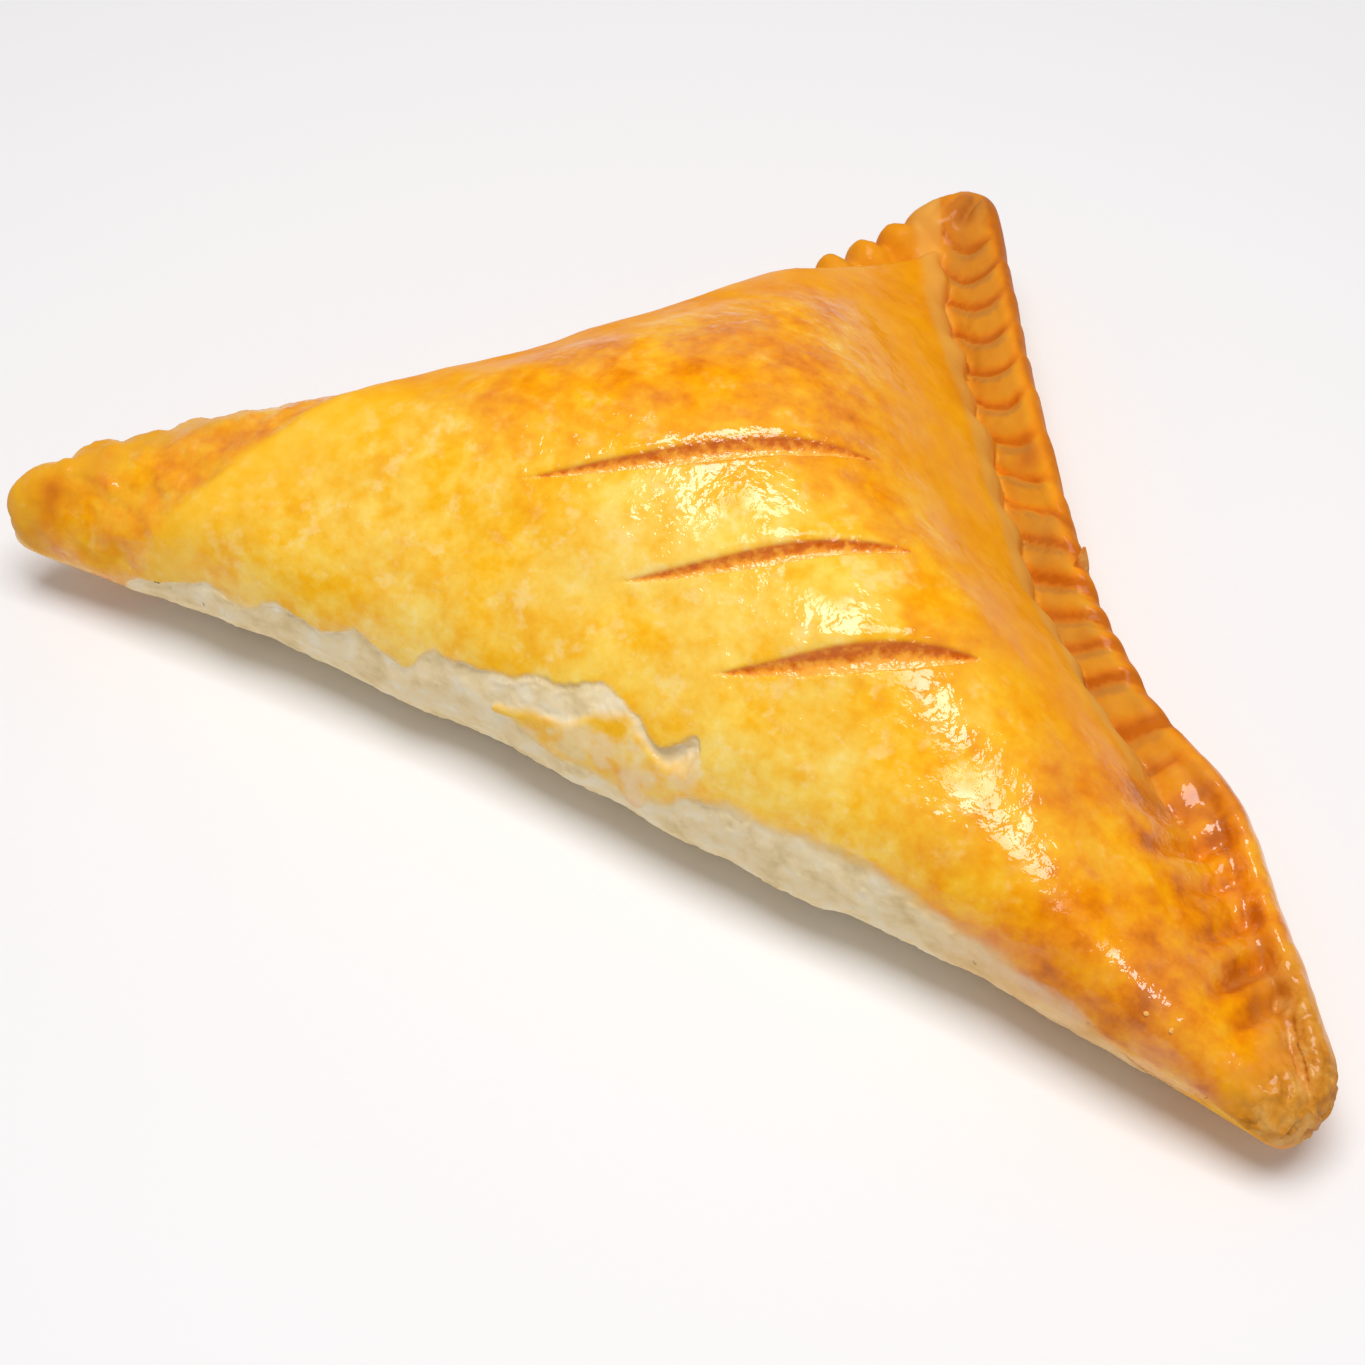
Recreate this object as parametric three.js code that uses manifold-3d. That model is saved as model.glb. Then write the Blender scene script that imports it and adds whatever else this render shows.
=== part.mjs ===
import * as THREE from "three";
import Module from "manifold-3d";

// A triangular puff pastry turnover: a square sheet folded on its diagonal, its two open legs pressed shut
// with a fork. Millimetres. X runs along the fold from the left tip to the right tip, Y from the fold to the
// apex, Z up.

// Plan triangle, measured between the corners that its edges would meet at if the tips were not blunt
const FOLD_LENGTH = 188.4;
const APEX_DEPTH = 118.6;
const APEX_SHIFT = -7.1;
const TIP_CUT = { left: 5.8, right: 10.8, apex: 5.4 };
const TIP_ROUNDING = 1.5;

// How far each edge bows out from its straight line (negative is inward), and how far it bends in an S
const FOLD_BOW = -4.4;
const FOLD_BEND = 1.0;
const RIGHT_LEG_BOW = -4.3;
const RIGHT_LEG_BEND = -2.6;
const LEFT_LEG_BOW = -5.2;
const LEFT_LEG_BEND = 1.1;

// Where the rims draw in (or swell out, if negative): place along the edge, spread and depth
const FOLD_SHIFTS = [[12, 14, -0.9], [46, 12, 0.7]];
const RIGHT_RIM_SHIFTS = [[-1, 23, 2.4], [-31, 10, -2.0], [56, 18, -1.0], [-65, 9, 1.2]];
const LEFT_RIM_SHIFTS = [[43, 12, -1.8], [74, 12, 3.5]];

// Heights above the table
const DOME_TOP = 39.6;
const TIP_LIFT = { left: 14.9, right: 9.0, apex: 14.2 };
const LEFT_LEG_SAG = 4.2;
const FOLD_NOSE = 11.5;

// Gentle swells and hollows of the dome: place in plan, spread and height
const DOME_SWELLS = [
  [-57, 31, 9, 2.1], [-38, 46, 8, -1.0], [-18, 75, 9, 1.2], [-10, 105, 6, 1.8], [-74, 18, 7, -1.0],
];

// Reach of the dome's rise from each edge, and how blunt that rise is
const FOLD_RISE = 40.5;
const RIGHT_LEG_RISE = 35.5;
const LEFT_LEG_RISE = 33.4;
const RIGHT_LEG_RISE_POWER = 1.35;
const RIGHT_TIP_RISE_POWER = 1.9;
const LEFT_LEG_RISE_POWER = 0.7;
const LEFT_TIP_RISE_POWER = 1.1;

// Underside
const FOLD_UNDERCUT = 14.6;
const LEG_UNDERCUT = 20.2;

// Fork-pressed border. Towards the right tip it passes into a folded slope: the stretch along the leg where
// it does so, how far in the folds reach and how slowly they fade there, and where the dome starts to rise.
// Midway the dome stands back from the waist. The dome's lip above the border is wavy.
const BORDER_WIDTH = 8.1;
const RIGHT_TIP_FROM = [-40, -14];
const RIGHT_TIP_FOLDS = 13.6;
const BORDER_FADE = { plain: 0.8, rightTip: 4.5 };
const RIGHT_TIP_FOOT = 5.8;
const WAIST_FOOT = { at: 2, spread: 18, depth: 1.8 };
const LIP_WAVE = { height: 0.8, reach: 2.5 };
const BORDER_THICKNESS = 7.0;
const BORDER_ROUNDING = 3.8;

// Towards the left tip the border flattens into an ear: where along the leg it does so, how far in the grooves
// reach, where the dome starts to rise and how thick the rim is there
const LEFT_TIP_FROM = [22, 46];
const LEFT_TIP_REACH = 6.0;
const LEFT_TIP_FOOT = 1.0;
const LEFT_TIP_THICKNESS = 4.4;

// Grooves pressed by the fork: how many have passed at places along each leg, how far in from the rim that
// count holds, and their lean at places along the right leg
const RIGHT_GROOVES = [
  [-62, -11], [-24.5, -4], [-19.3, -3], [-10, -2], [0.5, 0], [12.4, 2], [26.8, 5], [55.6, 10], [80, 14.5],
];
const LEFT_GROOVES = [[-80, -14], [20, 4], [80, 12.8]];
const COUNTED_AT = 6.5;
const RIDGE_LEAN = [
  [-60, -0.6], [-30, -0.2], [-22, 0.05], [-10, 0.4], [8, 1.1], [20, 1.1], [32, 0.4], [60, 0.4],
];

// The right leg's imprints: in its upper half they curve like a smile about their middle, and midway they are
// more like rolls than pockets. Then the depths of the pillows, of the pockets and of the right tip's folds,
// the rims' scallops and the width of the smooth rim outside.
const SMILE = { from: [14, 26], depth: 2.0, middle: 5, reach: 2.8, most: 1.6 };
const ROLLS = { from: [-22, -16], to: [10, 18], elsewhere: 0.2, midway: 0.65 };
const PILLOW_DEPTH = 2.2;
const LEFT_PILLOW_DEPTH = 1.6;
const POCKET_DEPTH = 1.6;
const FOLD_DEPTH = 1.9;
const RIGHT_SCALLOP = { plain: 0.35, rightTip: 0.07 };
const LEFT_SCALLOP = 0.95;
const SMOOTH_RIM = { apex: 2.6, midway: 1.0, rightTip: 3.6 };

// Short grooves over the apex, and the seam inside the rolled rim by the right tip
const APEX_GROOVES = { pitch: 3.4, depth: 1.5 };
const SEAM = { inset: 4.4, depth: 0.9, halfWidth: 0.9 };

// Torn lower edge of the washed skin along the fold: its height at places along the fold. The pale layered
// side is set back under it.
const SKIN_EDGE = [
  [-74, 4], [-66, 12], [-40, 16], [-30, 15], [-25, 19.5], [-4, 22.5], [4.5, 20.5], [8.3, 22.5], [12.4, 17.3],
  [31, 17.8], [55.6, 13.2], [70, 3],
];
const SKIN_STEP = 0.6;
const LAYER_PITCH = 3.6;
const LAYER_RELIEF = 0.3;

// The crease where the filled dome ends and the flat left ear begins: two points on it, the step down to the
// ear, its half width and the stretch beyond it over which the step fades
const LEFT_CREASE = { from: [-57, 20.5], to: [-66.9, 2.5], step: 1.1, halfWidth: 1.7, fade: [2, 14] };

// Three slits cut across the dome: both ends of each in plan, sideways bow, half width and depth
const SLITS = [
  { from: [-25.5, 21.9], to: [11.0, 44.8], bow: -1.1, halfWidth: 1.75, depth: 1.9 },
  { from: [-9.4, 16.5], to: [20.6, 35.2], bow: -1.2, halfWidth: 1.5, depth: 1.8 },
  { from: [5.9, 12.3], to: [33.0, 26.8], bow: -1.1, halfWidth: 1.9, depth: 2.1 },
];

// Mesh density: columns round the outline, how much closer they stand along the legs, and ring distances from
// the outline
const COLUMNS = 400;
const LEG_DENSITY = 2.4;
const TOP_RINGS = [
  { columns: COLUMNS, insets: [0.35, 1.2, 2.6, 4.6, 6.8, 8.5, 9.6] },
  { columns: COLUMNS / 2, insets: [12, 15.5, 20] },
  { columns: COLUMNS / 4, insets: [25, 30.5, 36.5] },
];
const UNDER_RINGS = [
  { columns: COLUMNS / 2, insets: [1.5] },
  { columns: COLUMNS / 4, insets: [5, 10, 15, 22, 31] },
];

const CRUST_COLOUR = 0xdf9a35;

const clamp01 = (v) => Math.min(1, Math.max(0, v));
const mix = (a, b, t) => a + (b - a) * t;
const ramp = (a, b, v) => THREE.MathUtils.smoothstep(v, a, b);
const hump = (v, at, spread) => Math.exp(-(((v - at) / spread) ** 2));
// Quarter-round rise from 0 at the edge to 1 at the given reach
const quarterRise = (d, reach) => Math.sqrt(1 - (1 - clamp01(d / reach)) ** 2);

function smoothMin(values, rounding) {
  const least = Math.min(...values);
  const sum = values.reduce((s, v) => s + Math.exp((least - v) / rounding), 0);
  return least - rounding * Math.log(sum);
}

// Curves through a few points, straight or easing from each to the next
function curveThrough(points, x, blend) {
  let i = 0;
  while (i < points.length - 2 && x > points[i + 1][0]) i++;
  const [[x0, start], [x1, end]] = [points[i], points[i + 1]];
  return mix(start, end, blend((x - x0) / (x1 - x0)));
}

const straightCurve = (points, x) => curveThrough(points, x, clamp01);
const easedCurve = (points, x) => curveThrough(points, x, (t) => ramp(0, 1, t));

const CORNERS = {
  left: new THREE.Vector2(-FOLD_LENGTH / 2, 0),
  right: new THREE.Vector2(FOLD_LENGTH / 2, 0),
  apex: new THREE.Vector2(APEX_SHIFT, APEX_DEPTH),
};

function makeEdge(from, to, bow, bend) {
  const along = to.clone().sub(from);
  const half = along.length() / 2;
  along.normalize();
  const inward = new THREE.Vector2(-along.y, along.x);
  return { mid: from.clone().lerp(to, 0.5), along, inward, half, bow, bend };
}

const FOLD = makeEdge(CORNERS.left, CORNERS.right, FOLD_BOW, FOLD_BEND);
const RIGHT_LEG = makeEdge(CORNERS.right, CORNERS.apex, RIGHT_LEG_BOW, RIGHT_LEG_BEND);
const LEFT_LEG = makeEdge(CORNERS.apex, CORNERS.left, LEFT_LEG_BOW, LEFT_LEG_BEND);

// Centre of the circle that touches all three straight edges
const CENTRE = (() => {
  const rightLeg = CORNERS.right.distanceTo(CORNERS.apex);
  const leftLeg = CORNERS.apex.distanceTo(CORNERS.left);
  const around = rightLeg + leftLeg + FOLD_LENGTH;
  return new THREE.Vector2(
    (rightLeg * CORNERS.left.x + leftLeg * CORNERS.right.x + FOLD_LENGTH * CORNERS.apex.x) / around,
    (FOLD_LENGTH * CORNERS.apex.y) / around,
  );
})();
const INRADIUS = CENTRE.y;

const alongEdge = (edge, x, y) => (x - edge.mid.x) * edge.along.x + (y - edge.mid.y) * edge.along.y;

// Distance inward from an edge's bowed and bent line
function insetFrom(edge, x, y) {
  const t = alongEdge(edge, x, y) / edge.half;
  const straight = (x - edge.mid.x) * edge.inward.x + (y - edge.mid.y) * edge.inward.y;
  return straight + (edge.bow + 2.6 * edge.bend * t) * (1 - Math.min(t * t, 1));
}

// Each tip with the direction that halves its corner, pointing into the pastry
const TIPS = {};
for (const [name, corner] of Object.entries(CORNERS)) {
  const bisector = new THREE.Vector2();
  for (const other of Object.values(CORNERS)) {
    if (other !== corner) bisector.add(other.clone().sub(corner).normalize());
  }
  TIPS[name] = { corner, bisector: bisector.normalize(), cut: TIP_CUT[name], lift: TIP_LIFT[name] };
}

// Distance inward from the short blunt end of a tip
function insetFromTip({ corner, bisector, cut }, x, y) {
  return (x - corner.x) * bisector.x + (y - corner.y) * bisector.y - cut;
}

// How far a rim draws in at a place along its edge
function shiftAt(shifts, u) {
  return shifts.reduce((sum, [place, spread, depth]) => sum + depth * hump(u, place, spread), 0);
}

// How deep the fork has pressed: round pillows between grooves at the whole counts, or pockets that deepen
// towards a ridge
const pillows = (count) => 1 - Math.sqrt(Math.sin(Math.PI * count) ** 2 + 0.04);

function pockets(count) {
  const above = count - Math.floor(count);
  return ramp(0, 0.34, above) * (1 - above) ** 0.8;
}

// Distances in from the edges and tips, and how deep the legs are pressed. The grooves fade out towards the
// tips.
function insetsAt(x, y) {
  const right = insetFrom(RIGHT_LEG, x, y);
  const left = insetFrom(LEFT_LEG, x, y);
  const rightPlace = alongEdge(RIGHT_LEG, x, y);
  const leftPlace = alongEdge(LEFT_LEG, x, y);
  const fold = insetFrom(FOLD, x, y) - shiftAt(FOLD_SHIFTS, alongEdge(FOLD, x, y));
  const rightRim = right - shiftAt(RIGHT_RIM_SHIFTS, rightPlace);
  const leftRim = left - shiftAt(LEFT_RIM_SHIFTS, leftPlace);
  const fromLeftTip = insetFromTip(TIPS.left, x, y);
  const fromRightTip = insetFromTip(TIPS.right, x, y);
  const fromApex = insetFromTip(TIPS.apex, x, y);

  const rightTip = 1 - ramp(...RIGHT_TIP_FROM, rightPlace);
  const offMiddle = (rightRim - SMILE.middle) / SMILE.reach;
  const smiling = Math.min(offMiddle ** 2, SMILE.most) * ramp(...SMILE.from, rightPlace);
  const leaning = easedCurve(RIDGE_LEAN, rightPlace) * (rightRim - COUNTED_AT);
  const rightCount = straightCurve(RIGHT_GROOVES, rightPlace - leaning - SMILE.depth * smiling);
  const leftCount = straightCurve(LEFT_GROOVES, leftPlace) + 0.06 * leftRim + 0.2 * Math.sin(0.13 * leftPlace);
  const rolled = ramp(...ROLLS.from, rightPlace) * (1 - ramp(...ROLLS.to, rightPlace));
  const round = Math.max(mix(ROLLS.elsewhere, ROLLS.midway, rolled), rightTip);
  const uneven = 0.85 + 0.3 * Math.sin(1.9 * rightCount);
  const depth = uneven * mix(POCKET_DEPTH, mix(PILLOW_DEPTH, FOLD_DEPTH, rightTip), round);
  const offApex = ramp(7, 13, fromApex);
  const imprint = mix(pockets(rightCount), pillows(rightCount), round);
  const rightPressed = depth * imprint * ramp(3, 14, fromRightTip) * offApex;
  const leftPressed = LEFT_PILLOW_DEPTH * pillows(leftCount) * ramp(2, 9, fromLeftTip) * offApex;

  const rightScallop = mix(RIGHT_SCALLOP.plain, RIGHT_SCALLOP.rightTip, rightTip);
  const rims = [fold, rightRim - rightScallop * rightPressed, leftRim - LEFT_SCALLOP * leftPressed];
  const outline = smoothMin([...rims, fromLeftTip, fromRightTip, fromApex], TIP_ROUNDING);
  return {
    fold, right, left, rightPlace, leftPlace, rightRim, leftRim, fromRightTip, fromApex,
    rightTip, rolled, rightPressed, leftPressed, outline,
  };
}

// How far the sealed rim is lifted off the table: by the lift of the nearest tips, less a sag midway along the
// left leg
function rimLift(x, y) {
  let weights = 0;
  let lifted = 0;
  for (const { corner, lift } of Object.values(TIPS)) {
    const weight = ((x - corner.x) ** 2 + (y - corner.y) ** 2 + 300) ** -1.5;
    weights += weight;
    lifted += weight * lift;
  }
  const t = alongEdge(LEFT_LEG, x, y) / LEFT_LEG.half;
  const nearLeftLeg = 1 - ramp(0, 25, insetFrom(LEFT_LEG, x, y));
  return lifted / weights - LEFT_LEG_SAG * Math.max(1 - t * t, 0) * nearLeftLeg;
}

// How far the flat ear beyond the left crease lies below the dome
function earStep(x, y) {
  const [x0, y0] = LEFT_CREASE.from;
  const [x1, y1] = LEFT_CREASE.to;
  const beyond = ((x - x0) * (y1 - y0) - (y - y0) * (x1 - x0)) / Math.hypot(x1 - x0, y1 - y0);
  const { step, halfWidth, fade } = LEFT_CREASE;
  return step * ramp(-halfWidth, halfWidth, beyond) * (1 - ramp(...fade, beyond));
}

// Depth pressed or creased into the upper side
function reliefAt(x, y, at, leftTip, rightReach) {
  const plainRim = mix(SMOOTH_RIM.apex, SMOOTH_RIM.midway, at.rolled);
  const smoothRim = mix(plainRim, SMOOTH_RIM.rightTip, at.rightTip);
  const fade = mix(BORDER_FADE.plain, BORDER_FADE.rightTip, at.rightTip);
  const inRim = ramp(smoothRim - 0.8, smoothRim + 1.4, at.rightRim);
  const onRight = inRim * (1 - ramp(rightReach - fade, rightReach + 1.2, at.right));
  const leftReach = mix(BORDER_WIDTH, LEFT_TIP_REACH, leftTip);
  const leftFade = mix(1, 5, leftTip);
  const onLeft = ramp(0.3, 2.2, at.leftRim) * (1 - ramp(leftReach - leftFade, leftReach + 1.6, at.left));
  const { corner, bisector } = TIPS.apex;
  const acrossApex = (x - corner.x) * bisector.y - (y - corner.y) * bisector.x;
  const onApex = ramp(1, 3, at.fromApex) * (1 - ramp(7, 11, at.fromApex)) * ramp(1, 3, at.outline);
  const apexPressed = APEX_GROOVES.depth * pillows(acrossApex / APEX_GROOVES.pitch + 0.3);
  const groove = Math.max(onRight * at.rightPressed, onLeft * at.leftPressed, onApex * apexPressed);
  const seam = at.rightTip * ramp(0.5, 4, at.fromRightTip) * hump(at.rightRim, SEAM.inset, SEAM.halfWidth);
  return groove + SEAM.depth * seam + earStep(x, y) * ramp(1, 4, at.outline);
}

// Heights of the upper and the under side at a place in plan
function heightsAt(x, y) {
  const at = insetsAt(x, y);
  const fold = Math.max(at.fold, 0);
  const right = Math.max(at.right, 0);
  const left = Math.max(at.left, 0);
  const leg = Math.max(smoothMin([right, left], 3), 0);
  const lift = rimLift(x, y);
  const tilt = clamp01(1 - leg / LEG_UNDERCUT);
  const byFold = ramp(0, LEG_UNDERCUT, leg);

  const under = lift * tilt * tilt + FOLD_NOSE * (1 - quarterRise(fold, FOLD_UNDERCUT)) * byFold;

  const leftTip = ramp(...LEFT_TIP_FROM, at.leftPlace);
  const thickness = mix(BORDER_THICKNESS, LEFT_TIP_THICKNESS, leftTip);
  const rim = thickness * quarterRise(Math.max(at.outline, 0), BORDER_ROUNDING);
  const border = lift * tilt + rim * mix(1, 0.6, byFold);
  const base = mix(border, FOLD_NOSE, byFold * (1 - ramp(0, 14, fold)));
  const waist = WAIST_FOOT.depth * hump(at.rightPlace, WAIST_FOOT.at, WAIST_FOOT.spread);
  const plainFoot = mix(BORDER_WIDTH, RIGHT_TIP_FOOT, at.rightTip) + waist;
  const waves = Math.sin(0.62 * at.rightPlace) * Math.sin(0.23 * at.rightPlace + 1);
  const wave = LIP_WAVE.height * waves * (1 - at.rightTip);
  const foot = plainFoot + wave * Math.exp(-Math.max(right - plainFoot, 0) / LIP_WAVE.reach);
  const leftFoot = mix(BORDER_WIDTH, LEFT_TIP_FOOT, leftTip);
  const swell =
    quarterRise(fold, FOLD_RISE) *
    quarterRise(right - foot, RIGHT_LEG_RISE) ** mix(RIGHT_LEG_RISE_POWER, RIGHT_TIP_RISE_POWER, at.rightTip) *
    quarterRise(left - leftFoot, LEFT_LEG_RISE) ** mix(LEFT_LEG_RISE_POWER, LEFT_TIP_RISE_POWER, leftTip);
  const broadLumps = 0.5 * Math.sin(0.085 * x + 0.6) * Math.sin(0.1 * y + 1.1);
  const lumps = broadLumps + 0.3 * Math.sin(0.19 * x - 0.12 * y);
  let top = base + (DOME_TOP + lumps - base) * swell;
  for (const [placeX, placeY, spread, height] of DOME_SWELLS) {
    top += height * hump(Math.hypot(x - placeX, y - placeY), 0, spread) * ramp(0, 4, at.outline);
  }

  const rightReach = mix(BORDER_WIDTH, RIGHT_TIP_FOLDS, at.rightTip) + waist;
  top -= reliefAt(x, y, at, leftTip, rightReach);
  return { top: Math.max(top, under + 0.5 * rim), under, fold, byFold };
}

// Sets the bare side under the skin's edge back from the fold's face, and rolls its layers
function setBackSide(x, z, fold, byFold) {
  const facing = byFold * (1 - ramp(5, 12, fold));
  const bare = 1 - ramp(-0.6, 0.6, z - easedCurve(SKIN_EDGE, x));
  const waver = 0.6 * Math.sin(0.11 * x) + 0.35 * Math.sin(0.37 * x);
  const layer = Math.sin((2 * Math.PI * z) / LAYER_PITCH + waver);
  return facing * bare * (SKIN_STEP + LAYER_RELIEF * layer);
}

function outlineRadius(angle) {
  let near = 0;
  let far = FOLD_LENGTH;
  for (let step = 0; step < 40; step++) {
    const middle = (near + far) / 2;
    const { outline } = insetsAt(CENTRE.x + middle * Math.cos(angle), CENTRE.y + middle * Math.sin(angle));
    if (outline > 0) near = middle;
    else far = middle;
  }
  return (near + far) / 2;
}

// Outline points, closer together along the pressed legs than along the fold
function outlinePoints() {
  const samples = 2400;
  const points = [];
  for (let i = 0; i <= samples; i++) {
    const angle = (2 * Math.PI * i) / samples;
    const radius = outlineRadius(angle);
    points.push(new THREE.Vector2(CENTRE.x + radius * Math.cos(angle), CENTRE.y + radius * Math.sin(angle)));
  }
  const reached = [0];
  for (let i = 1; i <= samples; i++) {
    const { fold, right, left } = insetsAt(points[i].x, points[i].y);
    const density = fold < Math.min(right, left) - 2 ? 1 : LEG_DENSITY;
    reached.push(reached[i - 1] + density * points[i].distanceTo(points[i - 1]));
  }
  const chosen = [];
  let i = 0;
  for (let column = 0; column < COLUMNS; column++) {
    const target = (reached[samples] * column) / COLUMNS;
    while (reached[i + 1] < target) i++;
    chosen.push(points[i].clone().lerp(points[i + 1], (target - reached[i]) / (reached[i + 1] - reached[i])));
  }
  return chosen;
}

// A closed skin: one outline ring shared by a top and an underside, each thinned to fewer columns towards its
// middle
function pastryBody() {
  const outline = outlinePoints();
  const vertices = [];
  const triangles = [];

  function addVertex(x, y, z, at) {
    vertices.push(x, y + setBackSide(x, z, at.fold, at.byFold), z);
    return vertices.length / 3 - 1;
  }

  function addRing(columns, inset, side) {
    const ring = [];
    const scale = 1 - inset / INRADIUS;
    for (let column = 0; column < columns; column++) {
      const p = outline[(column * COLUMNS) / columns];
      const x = mix(CENTRE.x, p.x, scale);
      const y = mix(CENTRE.y, p.y, scale);
      const at = heightsAt(x, y);
      ring.push(addVertex(x, y, side === "rim" ? (at.top + at.under) / 2 : at[side], at));
    }
    return ring;
  }

  function addTriangle(a, b, c, side) {
    if (side === "top") triangles.push(a, b, c);
    else triangles.push(a, c, b);
  }

  // Joins an outer ring to an inner one with as many columns, or half as many
  function stitch(outer, inner, side) {
    const step = outer.length / inner.length;
    inner.forEach((here, i) => {
      const next = inner[(i + 1) % inner.length];
      for (let k = 0; k < step; k++) {
        const a = outer[i * step + k];
        const b = outer[(i * step + k + 1) % outer.length];
        addTriangle(a, b, k < step / 2 ? here : next, side);
      }
      const waist = outer[(i * step + Math.ceil(step / 2)) % outer.length];
      addTriangle(here, waist, next, side);
    });
  }

  const rim = addRing(COLUMNS, 0, "rim");
  for (const [side, bands] of [["top", TOP_RINGS], ["under", UNDER_RINGS]]) {
    let outer = rim;
    for (const band of bands) {
      for (const inset of band.insets) {
        const inner = addRing(band.columns, inset, side);
        stitch(outer, inner, side);
        outer = inner;
      }
    }
    const at = heightsAt(CENTRE.x, CENTRE.y);
    const middle = addVertex(CENTRE.x, CENTRE.y, at[side], at);
    outer.forEach((a, i) => addTriangle(a, outer[(i + 1) % outer.length], middle, side));
  }

  const geometry = new THREE.BufferGeometry();
  geometry.setAttribute("position", new THREE.Float32BufferAttribute(vertices, 3));
  geometry.setIndex(triangles);
  return geometry;
}

// How open a slit is along its length, from 0 at its ends to 1: it gapes nearest its right end
function slitOpening(t) {
  const s = clamp01((t + 1) / 2);
  return (s ** 0.9 * (1 - s) ** 0.6) / 0.364;
}

// A sharp-ended gash that follows the dome, as a ball drawn out along the cut
function slitCutter({ from, to, bow, halfWidth, depth }) {
  const ball = new THREE.SphereGeometry(1, 16, 26);
  ball.rotateZ(-Math.PI / 2);
  const start = new THREE.Vector2(...from);
  const end = new THREE.Vector2(...to);
  const along = end.clone().sub(start).normalize();
  const across = new THREE.Vector2(-along.y, along.x);
  const places = ball.attributes.position;
  for (let i = 0; i < places.count; i++) {
    const t = THREE.MathUtils.clamp(places.getX(i), -1, 1);
    const section = Math.max(Math.sqrt(1 - t * t), 1e-6);
    const opening = slitOpening(t) / section;
    const line = start.clone().lerp(end, (t + 1) / 2).addScaledVector(across, bow * (1 - t * t));
    const surface = heightsAt(line.x, line.y).top;
    const p = line.addScaledVector(across, halfWidth * opening * places.getY(i));
    places.setXYZ(i, p.x, p.y, surface + depth * Math.sqrt(opening / section) * places.getZ(i));
  }
  return ball;
}

const wasm = await Module();
wasm.setup();

// A closed surface as a solid, with the vertices at its seams and poles brought together
function solidFrom(geometry) {
  const position = geometry.attributes.position;
  const seen = new Map();
  const vertProperties = [];
  const places = [];
  for (let i = 0; i < position.count; i++) {
    const p = [position.getX(i), position.getY(i), position.getZ(i)];
    const key = p.map((v) => Math.round(v * 1e4)).join(" ");
    if (!seen.has(key)) {
      seen.set(key, vertProperties.length / 3);
      vertProperties.push(...p);
    }
    places.push(seen.get(key));
  }
  const triVerts = [];
  for (let i = 0; i < geometry.index.count; i += 3) {
    const [a, b, c] = [0, 1, 2].map((k) => places[geometry.index.getX(i + k)]);
    if (a !== b && b !== c && c !== a) triVerts.push(a, b, c);
  }
  return new wasm.Manifold(
    new wasm.Mesh({
      numProp: 3,
      vertProperties: new Float32Array(vertProperties),
      triVerts: new Uint32Array(triVerts),
    }),
  );
}

function geometryFrom(solid) {
  const mesh = solid.getMesh();
  const geometry = new THREE.BufferGeometry();
  geometry.setAttribute("position", new THREE.BufferAttribute(new Float32Array(mesh.vertProperties), 3));
  geometry.setIndex(new THREE.BufferAttribute(new Uint32Array(mesh.triVerts), 1));
  return geometry;
}

let pastry = solidFrom(pastryBody());
for (const slit of SLITS) pastry = pastry.subtract(solidFrom(slitCutter(slit)));

const geometry = geometryFrom(pastry);
geometry.computeBoundingBox();
const box = geometry.boundingBox;
geometry.translate(-(box.min.x + box.max.x) / 2, -(box.min.y + box.max.y) / 2, -box.min.z);
geometry.computeVertexNormals();

const crust = new THREE.MeshStandardMaterial({ color: CRUST_COLOUR, roughness: 0.45, metalness: 0 });
const mesh = new THREE.Mesh(geometry, crust);
mesh.name = "pastry";

const group = new THREE.Group();
group.name = "chicken_puff";
group.add(mesh);

export default group;
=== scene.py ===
import math
import random
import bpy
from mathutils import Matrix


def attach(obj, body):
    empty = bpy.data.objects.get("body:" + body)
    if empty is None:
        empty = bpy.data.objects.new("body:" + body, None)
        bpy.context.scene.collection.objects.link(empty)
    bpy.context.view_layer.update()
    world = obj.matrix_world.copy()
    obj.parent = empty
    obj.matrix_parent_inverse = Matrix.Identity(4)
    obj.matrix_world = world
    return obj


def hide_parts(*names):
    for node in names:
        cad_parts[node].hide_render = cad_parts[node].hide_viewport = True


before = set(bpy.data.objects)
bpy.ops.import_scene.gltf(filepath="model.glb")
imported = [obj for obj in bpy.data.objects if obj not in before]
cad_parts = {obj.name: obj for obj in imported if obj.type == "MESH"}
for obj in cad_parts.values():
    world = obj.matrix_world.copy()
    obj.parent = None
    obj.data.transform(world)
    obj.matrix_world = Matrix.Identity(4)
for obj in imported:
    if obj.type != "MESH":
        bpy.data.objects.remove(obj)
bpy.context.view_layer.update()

from types import SimpleNamespace

import bmesh
import bpy
import numpy as np
from mathutils import Euler, Matrix, Vector, noise

# A triangular puff pastry turnover. Its form is worked out in millimetres, with X along the fold from the
# left tip to the right tip, Y from the fold to the apex and Z up. FORM_MIDDLE is the place on the form that
# lies at the frame's origin.
MM = 0.001
FORM_MIDDLE = np.array((-1.09, 56.72, 0.0))

# Plan triangle between the corners that its edges would meet at if the tips were not blunt
FOLD_LENGTH = 188.4
APEX_DEPTH = 118.6
APEX_SHIFT = -7.1
TIP_CUT = {"left": 5.8, "right": 10.8, "apex": 5.4}
TIP_ROUNDING = 1.5

# Where the rims draw in (or swell out, if negative): place along the edge, spread and depth
FOLD_SHIFTS = ((12.0, 14.0, -0.9), (46.0, 12.0, 0.7))
RIGHT_RIM_SHIFTS = ((-1.0, 23.0, 2.4), (-31.0, 10.0, -2.0), (56.0, 18.0, -1.0), (-65.0, 9.0, 1.2))
LEFT_RIM_SHIFTS = ((43.0, 12.0, -1.8), (74.0, 12.0, 3.5))

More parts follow.
